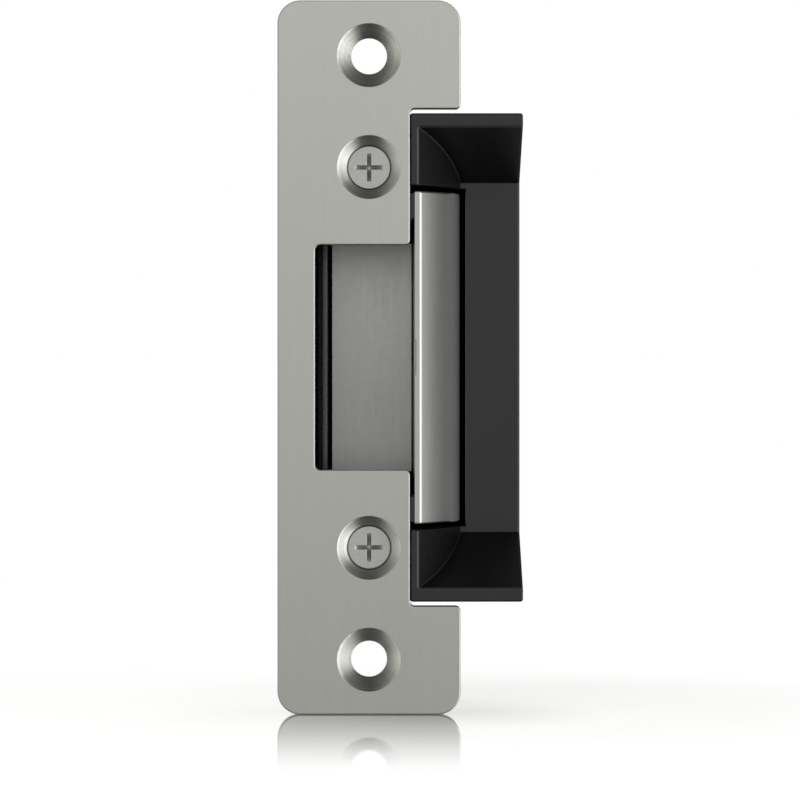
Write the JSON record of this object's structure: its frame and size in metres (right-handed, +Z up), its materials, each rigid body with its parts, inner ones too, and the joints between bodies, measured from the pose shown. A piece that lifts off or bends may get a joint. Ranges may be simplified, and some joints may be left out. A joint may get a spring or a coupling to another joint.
{
  "type": "electric door strike",
  "caption": "Electric door strike with a steel faceplate, a flush cast lip and a solenoid-released keeper that swings to free the door latch.",
  "frame": {"origin": "centre of the faceplate's back face, midway between the jamb screw holes", "axes": "+X to the lip side, +Y into the door jamb, +Z up along the faceplate"},
  "size_m": [0.0426, 0.036, 0.1238],
  "materials": {
    "brushed_plate": "vertically brushed stainless",
    "screw_steel": "dull zinc",
    "black_casting": "satin black coating",
    "pocket_steel": "plain steel",
    "black_cover": "satin black coating",
    "black_rod": "black oxide",
    "spring_steel": "bright spring wire",
    "rubber_pad": "matte",
    "zinc_steel": "zinc plated",
    "bobbin_plastic": "natural nylon",
    "copper_wire": "enamelled copper",
    "coil_tape": "polyester tape",
    "circuit_board": "solder mask",
    "black_plastic": "moulded",
    "blue_plastic": "dipped epoxy",
    "socket_plastic": "moulded nylon",
    "brass_pin": "plated",
    "red_wire": "insulated wire",
    "keeper_steel": "satin machined steel",
    "bronze": "sintered bronze"
  },
  "bodies": {
    "root": {"faceplate": "brushed_plate", "faceplate_screws": "screw_steel", "housing": "black_casting", "pocket_plate": "pocket_steel", "back_cover": "black_cover", "cover_screws": "screw_steel", "hinge_rod": "black_rod", "rod_set_screw": "black_rod", "keeper_spring_upper": "spring_steel", "keeper_spring_lower": "spring_steel", "keeper_stop_pads": "rubber_pad", "solenoid_frame": "zinc_steel", "bobbin": "bobbin_plastic", "coil_winding": "copper_wire", "coil_tape": "coil_tape", "pole_core": "zinc_steel", "solenoid_screws": "screw_steel", "lever_pin": "spring_steel", "lever_clip": "black_rod", "plunger_spring": "spring_steel", "circuit_board": "circuit_board", "board_screws": "screw_steel", "board_diode": "black_plastic", "board_varistor": "blue_plastic", "power_socket": "socket_plastic", "socket_pins": "brass_pin", "coil_leads": "red_wire"},
    "keeper": {"keeper": "keeper_steel", "keeper_bushings": "bronze"},
    "lever": {"locking_lever": "zinc_steel"},
    "plunger": {"plunger": "zinc_steel", "plunger_clip": "black_rod", "link_pin": "spring_steel"}
  },
  "joints": [
    {"name": "keeper_pivot", "type": "hinge", "parent": "root", "child": "keeper", "pos_m": [-0.0081, 0.0161, 0], "axis": [0, 0, 1], "range_deg": [0, 35], "deforming": ["keeper_spring_upper", "keeper_spring_lower"]},
    {"name": "lever_pivot", "type": "hinge", "parent": "root", "child": "lever", "pos_m": [-0.0106, 0.0258, -0.018], "axis": [0, -1, 0], "range_deg": [0, 36]},
    {"name": "plunger_slide", "type": "slide", "parent": "root", "child": "plunger", "axis": [0, 0, 1], "range_m": [0, 0.0036], "deforming": ["plunger_spring"]}
  ],
  "couplings": [
    {"joint": "lever_pivot", "follows": "keeper_pivot", "ratio": 1},
    {"joint": "plunger_slide", "follows": "keeper_pivot", "m_per_rad": 0.00532}
  ]
}
